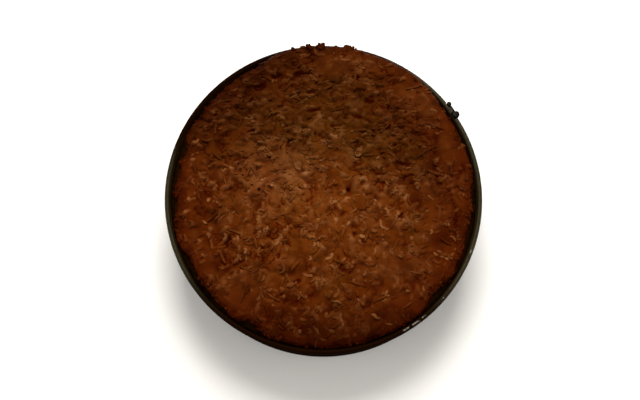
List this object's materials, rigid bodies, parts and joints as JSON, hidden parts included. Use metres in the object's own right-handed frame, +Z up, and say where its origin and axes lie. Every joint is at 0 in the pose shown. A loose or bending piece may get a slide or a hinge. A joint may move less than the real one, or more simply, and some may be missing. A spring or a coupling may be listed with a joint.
{
  "type": "chocolate cake",
  "caption": "Round chocolate cake under a thick spread of chocolate-coated shreds, in its own springform tin with a lever clasp.",
  "frame": {"origin": "centre of the tin base's flat underside, on the surface it stands on", "axes": "+Z up, -Y towards the front of the cake, the clasp towards +X and +Y"},
  "size_m": [0.2704, 0.2686, 0.0745],
  "materials": {
    "tin_coating": "dark non-stick coating, satin",
    "clasp_steel": "darkened steel, satin",
    "cake_crumb": "baked chocolate crumb, matt",
    "chocolate_topping": "chocolate spread over shreds, soft sheen"
  },
  "bodies": {
    "tin": {"tin_band": "tin_coating", "tin_base": "tin_coating", "clasp_bracket": "tin_coating", "clasp_catch": "tin_coating", "clasp_pin": "clasp_steel", "rivet_1": "clasp_steel", "rivet_2": "clasp_steel", "rivet_3": "clasp_steel", "rivet_4": "clasp_steel", "cake": "cake_crumb", "topping": "chocolate_topping"},
    "lever": {"clasp_lever": "tin_coating"},
    "link": {"clasp_link": "clasp_steel"}
  },
  "joints": [
    {"name": "lever_hinge", "type": "hinge", "parent": "tin", "child": "lever", "pos_m": [0.1121, 0.07504, 0.042], "axis": [0, 0, 1], "range_deg": [0, 110]},
    {"name": "link_hinge", "type": "hinge", "parent": "lever", "child": "link", "pos_m": [0.11431, 0.0703, 0.042], "axis": [0, 0, 1], "range_deg": [-90, 0]}
  ],
  "couplings": [
    {"joint": "link_hinge", "follows": "lever_hinge", "ratio": -0.8}
  ]
}
